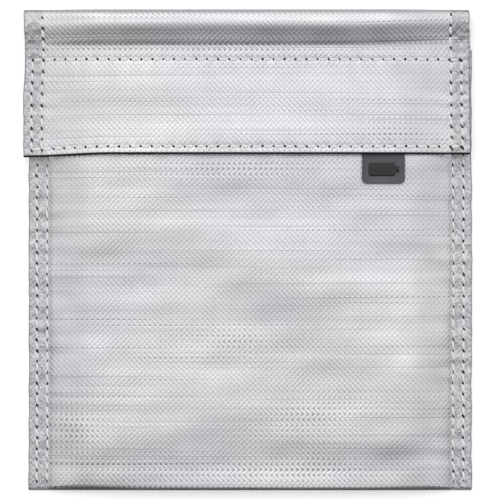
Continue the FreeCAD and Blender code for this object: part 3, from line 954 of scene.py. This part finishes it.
def add_stitch(parts, cloth, first, second, lean, arched):
    """One stitch, from just past its first hole to just before the second."""
    start, end = 0.07, 0.86
    way = second - first
    side = np.array([-way[1], way[0]]) / np.linalg.norm(way)
    line, ups, radii = [], [], []
    for t in np.linspace(start, end, 9):
        place, normal = cloth.at(*(first + way * t + side * lean * (t - 0.5)))
        arch = math.sin(math.pi * (t - start) / (end - start))
        line.append(place + normal * (CLOTH / 2 - 0.25 + arched * arch ** 0.5))
        ups.append(normal)
        radii.append(THREAD_RADIUS * (0.35 + 0.65 * arch ** 0.7))
    add_tube(*parts, np.array(line), ups, radii)


def add_hole(places, faces, cloth, spot, size, drawn):
    """A dimple on the cloth, coloured near-black as painted shade of the hole, drawn out along the row
    when drawn is more than one.
    """
    place, normal = cloth.at(*spot)
    across = np.cross(normal, (0, 1, 0.01))
    across /= np.linalg.norm(across)
    up = drawn * (np.cross(normal, across) - 0.6 * (drawn - 1) * across)
    start = len(places)
    places.append(place + normal * (CLOTH / 2 + 0.02))
    for reach, rise in ((0.6, 0.06), (1.0, 0.02)):
        for n in range(HOLE_SIDES):
            angle = 2 * math.pi * n / HOLE_SIDES
            out = across * math.cos(angle) + up * math.sin(angle)
            places.append(place + normal * (CLOTH / 2 + rise) + out * size * reach)
    for n in range(HOLE_SIDES):
        one, two = start + 1 + n, start + 1 + (n + 1) % HOLE_SIDES
        faces.append([start, one, two])
        faces.append([one, one + HOLE_SIDES, two + HOLE_SIDES, two])


def sew(name, cloth, holes, slant, seed, nodes, fasten, arched=0.5, hole=0.50, drawn=1.6):
    """A row of stitches through the holes, which are (u, v) on the cloth. Each stitch leaves
    one hole and enters the next, leaning to one side. fasten is called on the thread and the holes:
    ride_pouch ties them to the pouch, the others only bake their places."""
    draw = np.random.default_rng(seed)
    holes = [np.array(spot) for spot in holes]
    thread, marks = ([], [], []), ([], [])
    for first, second in zip(holes[:-1], holes[1:]):
        add_stitch(thread, cloth, first, second, slant * draw.uniform(0.7, 1.3), arched)
    for spot in holes:
        add_hole(*marks, cloth, spot, hole * draw.uniform(0.85, 1.2), drawn)
    thread = mesh_piece(name, *thread)
    marks = mesh_piece(name + "_holes", *marks)
    finish_piece(thread, THREAD_LOOK, nodes)
    finish_piece(marks, HOLE_LOOK)
    fasten(thread)
    fasten(marks)


def holes_between(low, high, fixed, along_v, jitter, seed):
    """Needle holes one pitch apart from low to high, at a fixed measure the other way."""
    draw = np.random.default_rng(seed)
    count = int((high - low) / STITCH_PITCH)
    spots = []
    for k in range(count + 1):
        way = low + k * STITCH_PITCH + draw.uniform(-jitter, jitter)
        side = fixed + draw.uniform(-jitter, jitter) / 2
        spots.append((side, way) if along_v else (way, side))
    return spots


# ---- building the bag

def ride_pouch(piece):
    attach(piece, "pouch")


def bend_between():
    """A fasten that only bakes a piece's place into its mesh; it ties the piece to no body."""
    def fasten(piece):
        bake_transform(piece)
    return fasten


bend_low = bend_between()
bend_high = bend_between()


def flat_ply(inset, start, height, unevenness, outward):
    """A ply of the back, from a place above the bottom fold to where the top fold begins."""
    x = steps((BACK_LEFT + inset, BACK_RIGHT - inset, 2.0))
    y = steps((start, FOLD_LINE[FOLD_START, 0], 2.0))
    grid_x, grid_y = np.meshgrid(x, y, indexing="ij")
    height = height + unevenness * ripple(grid_x, grid_y, 40, 51)
    return Cloth(x - POUCH_X, y, np.stack([grid_x, grid_y, height], -1), outward)


def build_back():
    start = BOTTOM + CLOTH / 2 + BOTTOM_RADIUS
    back = flat_ply(0.0, start, CLOTH / 2, 0.0, (0, 0, -1))
    lay("back_cloth", back, CLOTH_LOOK, ["back_panel"], ride_pouch)
    lining = flat_ply(LINING_INSET, start + CLOTH / 2, BACK_LINING_MID, 0.12, (0, 0, 1))
    lay("back_lining_cloth", lining, LINING_LOOK, ["back_lining"], ride_pouch)


def build_front_half(side, word):
    """One half of the front with its lining, its half of the loop tape and its stitches."""
    def gape(piece):
        """It bakes the piece's place into its mesh; it is tied to no body."""
        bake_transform(piece)

    cloth, keep, marks = front_cloth(side)
    name = f"front_cloth_{word}"
    nodes = [f"{word}_side_hem", "bottom_fold", "front_panel", "mouth_hem"]
    lay(name, cloth, CLOTH_LOOK, nodes, gape, keep, marks)
    y_span = (BOTTOM + LINING_START, MOUTH - MOUTH_HEM)
    lining = front_layer(side, REACH - 2, y_span, -LINING_DROP, 2.0)
    lay(f"front_lining_{word}", lining, LINING_LOOK, ["front_lining"], gape)
    loop = front_layer(side, LOOP_HALF, (TAPE_LOW, TAPE_HIGH), LOOP_MID - FRONT_MID, 1.2)
    piece = make_shell(f"loop_tape_{word}", loop, TAPE_THICK)
    finish_piece(piece, LOOP_LOOK, ["loop_tape"])
    gape(piece)
    for rank, row in (("outer", OUTER_ROW), ("inner", INNER_ROW)):
        seed = 60 + 2 * side + (rank == "inner")
        across = side * (HALF - row)
        seam = f"{word}_{rank}_seam"
        ends = [cloth.measure_at(across, y) for y in span(seam, 1)]
        holes = holes_between(*ends, across, True, SIDE_JITTER, seed)
        sew(f"{word}_{rank}_stitches", cloth, holes, 1.1, seed, [seam], ride_pouch)
    mouth = front_layer(side, LOOP_HALF, (MOUTH - 5, MOUTH), 0.0, 1.2)
    reach = LOOP_HALF - 3
    ends = (HALF_STITCH, reach) if side > 0 else (-reach, -HALF_STITCH)
    for name, y, layer, seam in (
        ("mouth", MOUTH_ROW, mouth, "mouth_seam"),
        ("loop_upper", TAPE_HIGH - TAPE_SEAM, loop, "loop_tape_upper_seam"),
        ("loop_lower", TAPE_LOW + TAPE_SEAM, loop, "loop_tape_lower_seam"),
    ):
        holes = holes_between(*ends, y, False, CROSS_JITTER, 70 + side)
        sew(f"{name}_stitches_{word}", layer, holes, 0.5, 71, [seam], gape)


def build_flap(flap, keep, marks, fold):
    """The cloth of the flap and the top fold, and the stitches on it."""
    nodes = ["flap_panel", "flap_left_hem", "flap_right_hem", "flap_end_hem"]
    lay("flap_cloth", flap, CLOTH_LOOK, nodes, bend_high, keep, marks)
    lay("top_fold_cloth", fold, CLOTH_LOOK, ["top_fold_panel"], bend_low)
    for side, word in SIDES:
        rows = (("outer", OUTER_ROW, UPPER_ROW - FLAP_END), ("inner", INNER_ROW, FLAP_INNER_END))
        for rank, row, top in rows:
            seed = 80 + 2 * side + (rank == "inner")
            holes = holes_between(FLAP_ROWS, top, side * (HALF - row), True, SIDE_JITTER, seed)
            nodes = [f"flap_{word}_{rank}_seam"]
            if rank == "inner":
                nodes.append(f"top_fold_{word}_seam")
            sew(f"flap_{word}_{rank}_stitches", flap, holes, 0.9, seed, nodes, bend_high)
    reach = HALF - OUTER_ROW
    for rank, row in (("end", END_ROW), ("upper", UPPER_ROW)):
        holes = holes_between(-reach, reach, row - FLAP_END, False, CROSS_JITTER, 90)
        sew(f"flap_{rank}_stitches", flap, holes, 0.3, 91, [f"flap_{rank}_seam"], bend_high,
            arched=0.3, hole=0.52, drawn=1.0)


def inner_ply(cloth, gap, u_span, v_span, every=2):
    """A ply that lies under part of a cloth, at a gap between their middle surfaces."""
    i = np.flatnonzero((cloth.u >= u_span[0]) & (cloth.u <= u_span[1]))
    j = np.flatnonzero((cloth.v >= v_span[0]) & (cloth.v <= v_span[1]))
    i = np.unique(np.append(i[::every], i[-1]))
    j = np.unique(np.append(j[::every], j[-1]))
    grid = np.ix_(i, j)
    ply = Cloth(cloth.u[i], cloth.v[j], cloth.points[grid] - cloth.normals[grid] * gap, (0, 0, 1))
    ply.normals = -cloth.normals[grid]
    return ply


def build_plies(flap, fold):
    """The lining inside the top fold and flap, and the hook tape sewn to it."""
    reach = HALF - LINING_INSET
    edge, lining = flap.v[-1], ["top_fold_lining"]
    ridge = edge - 20.0        # the facing reaches up to here, over the ridge of the fold
    for name, outer, cloth, v_span, nodes, bend in (
        ("flap_facing_cloth", "flap_cloth", flap, (LINING_INSET, ridge), ["flap_facing"], bend_high),
        ("fold_lining_high", "flap_cloth", flap, (ridge, edge), lining, bend_high),
        ("fold_lining_low", "top_fold_cloth", fold, (fold.v[0], fold.v[-1]), lining, bend_low),
    ):
        ply = inner_ply(cloth, FLAP_MID - FACING_MID, (-reach, reach), v_span)
        lay(name, ply, LINING_LOOK, nodes, bend)
    tape_span = (TAPE_LOW - FLAP_END, TAPE_HIGH - FLAP_END)
    hook = inner_ply(flap, FLAP_MID - HOOK_MID, (-HOOK_HALF, HOOK_HALF), tape_span)
    piece = make_shell("hook_tape_strip", hook, TAPE_THICK)
    finish_piece(piece, HOOK_LOOK, ["hook_tape"])
    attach(piece, "flap")


def rounded_outline(x_span, y_span, corners, count=8):
    """Points round a rectangle. corners are the radii at the corners, anticlockwise from the
    lower left."""
    (left, right), (low, high) = x_span, y_span
    points = []
    for k, radius in enumerate(corners):
        x = left + radius if k in (0, 3) else right - radius
        y = low + radius if k < 2 else high - radius
        for n in range(count + 1):
            angle = math.pi + (k + n / count) * math.pi / 2
            points.append((x + radius * math.cos(angle), y + radius * math.sin(angle)))
    return points


def rounded_plate(name, x_span, y_span, corners, profile, least):
    """A closed plate with rounded corners. profile is its edge from bottom to top, as pairs of
    how far it is drawn in and how high it is. No corner gets sharper than least."""
    places, faces = [], []
    for by, height in profile:
        radii = [max(radius - by, least) for radius in corners]
        inset = [(low + by, high - by) for low, high in (x_span, y_span)]
        outline = rounded_outline(*inset, radii)
        places.extend((x, y, height) for x, y in outline)
    count = len(outline)
    for k in range(len(profile) - 1):
        for n in range(count):
            m = (n + 1) % count
            faces.append([k * count + n, k * count + m, (k + 1) * count + m, (k + 1) * count + n])
    faces.append(list(range(count))[::-1])
    faces.append([len(places) - count + n for n in range(count)])
    return mesh_piece(name, places, faces)


def build_label():
    """The rubber label and the battery sign on it."""
    start, hinge = span("label_tab", 1)
    bottom, top = span("label_tab", 2)
    profile = ((0.3, bottom), (0.08, bottom + 0.08), (0, bottom + 0.3), (0, top - 0.3),
               (0.08, top - 0.08), (0.3, top), (0.75, top), (0.95, top - 0.12))
    y_span = (start, span("label_tab_root", 1)[1])
    label = rounded_plate("label", span("label_tab", 0), y_span, (2.2, 2.2, 0.2, 0.2), profile, 0.2)
    finish_piece(label, RUBBER_LOOK, ["label_tab", "label_tab_root"])
    bend_between()(label)
    left, right = span("label_mark", 0)
    centre = middle_of("label_mark", 1)
    sunk = span("label_mark", 2)[0] - 0.15
    terminal, gap, half = 1.4, 0.25, 1.3     # its length, its distance, half its height
    battery = (
        ("mark_cell", (left, right - terminal), span("label_mark", 1), 1.2, 0.2,
         ((0, 0), (0, 0.3), (0.12, 0.42), (0.5, 0.44))),
        ("mark_terminal", (right - terminal + gap, right + gap), (centre - half, centre + half),
         0.3, 0.25, ((0, 0), (0, 0.3), (0.1, 0.4))),
    )
    for name, x_span, y_span, radius, least, profile in battery:
        profile = [(by, sunk + rise) for by, rise in profile]
        piece = rounded_plate(name, x_span, y_span, (radius,) * 4, profile, least)
        finish_piece(piece, GLOSS_LOOK, ["label_mark"])
        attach(piece, "tab")


build_back()
for side, word in SIDES:
    build_front_half(side, word)
flap_parts, fold = flap_cloth(), fold_cloth()
build_flap(*flap_parts, fold)
build_plies(flap_parts[0], fold)
build_label()


# ---- the stage: a pale floor, soft light and a camera looking straight down

def build_floor():
    material, g = new_material("floor")
    colour = g.mix(g.noise(g.place(), 3.0), (0.64, 0.64, 0.64, 1), (0.66, 0.66, 0.66, 1))
    g.coat(colour, 0.9, **{"Emission Color": (1, 1, 1, 1), "Emission Strength": 0.48})
    reach = 12.0
    corners = [(-reach, -reach, 0), (reach, -reach, 0), (reach, reach, 0), (-reach, reach, 0)]
    mesh = bpy.data.meshes.new("floor")
    mesh.from_pydata(corners, [], [(0, 1, 2, 3)])
    mesh.materials.append(material)
    floor = add_object("floor", mesh)
    floor.visible_glossy = False


def add_sun(name, source, power, spread, glints):
    """A sun that shines from source. One without glints isn't mirrored by the foil."""
    data = bpy.data.lights.new(name, "SUN")
    data.energy = power
    data.angle = spread
    light = add_object(name, data)
    light.visible_glossy = glints
    light.rotation_euler = (-Vector(source)).to_track_quat("-Z", "Y").to_euler()


def build_world():
    """A studio that is bright at the sides, above and behind the top fold, with a softbox
    overhead. It is dim low down and beyond the bottom fold, and half bright far ahead."""
    world = bpy.data.worlds.new("studio")
    bpy.context.scene.world = world
    world.use_nodes = True
    g = Graph(world.node_tree)
    way = g.split(g.node("TexCoord").outputs["Generated"])
    ahead = g.ramp(way[1], -0.94, -0.74, 0.55, 0.0)
    share = g.most(g.ramp(way[1], -0.62, 0.12), ahead)
    colour = g.mix(share, (0.06, 0.06, 0.07, 1), (1.0, 1.0, 1.0, 1))
    behind = g.ramp(way[1], 0.15, 0.80, 0.0, 0.70)
    power = g.most(g.ramp(way[2], -0.15, 0.40, 0.12, 1.0), behind)
    softbox = g.times(g.ramp(way[2], 0.80, 0.93), g.ramp(way[1], 0.02, 0.28, 0.0, 0.55))
    power = g.times(power, g.plus(softbox, 1.0))
    power = g.times(power, g.ramp(way[1], 0.40, 0.80, 1.0, 0.72))
    background = g.node("Background", {"Color": colour, "Strength": g.times(power, 0.90)})
    g.node("OutputWorld", {"Surface": background.outputs[0]})


def build_camera():
    """Straight above the bag, far enough that it looks flat."""
    data = bpy.data.cameras.new("camera")
    data.lens = 300.0
    data.sensor_width = 36.0
    data.clip_end = 20.0
    data.dof.use_dof = False
    view = 224.2 * MM          # the width that the picture shows
    camera = add_object("camera", data)
    camera.location = (0.7 * MM, 0.0, view / data.sensor_width * data.lens + FRONT_MID * MM)
    bpy.context.scene.camera = camera


build_floor()
build_world()
add_sun("fill", (-0.12, 0.25, 0.95), 1.1, 0.6, False)
add_sun("sparkle", (-0.25, 0.75, 0.75), 0.16, 0.5, True)
build_camera()
bpy.context.scene.view_settings.view_transform = "Standard"
bpy.context.scene.view_settings.look = "None"
